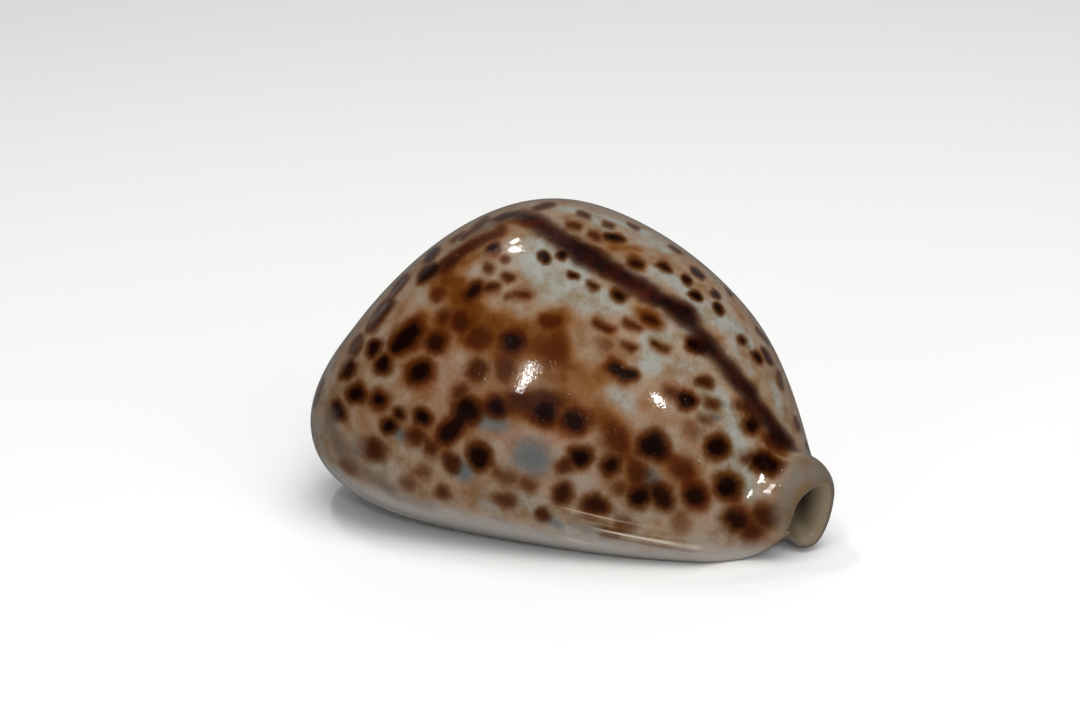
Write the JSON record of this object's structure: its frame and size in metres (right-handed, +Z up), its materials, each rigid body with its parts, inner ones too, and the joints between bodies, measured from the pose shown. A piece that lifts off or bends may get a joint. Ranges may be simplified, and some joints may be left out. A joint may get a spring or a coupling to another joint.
{
  "type": "cowrie shell",
  "caption": "Spotted cowrie sea shell: a smooth glossy dome with a dark line over its back, a short spout at one end and a long toothed slit along its flat underside.",
  "frame": {"origin": "middle of the bounding box's bottom face, on the surface the shell rests on", "axes": "+X along the shell towards the spout at its anterior end, +Y towards the inner-lip side, +Z up through the back"},
  "size_m": [0.0832, 0.0554, 0.0467],
  "materials": {
    "shell": "glossy, white to tan with dark brown spots"
  },
  "bodies": {
    "root": {"cowrie_shell": "shell"}
  },
  "joints": []
}
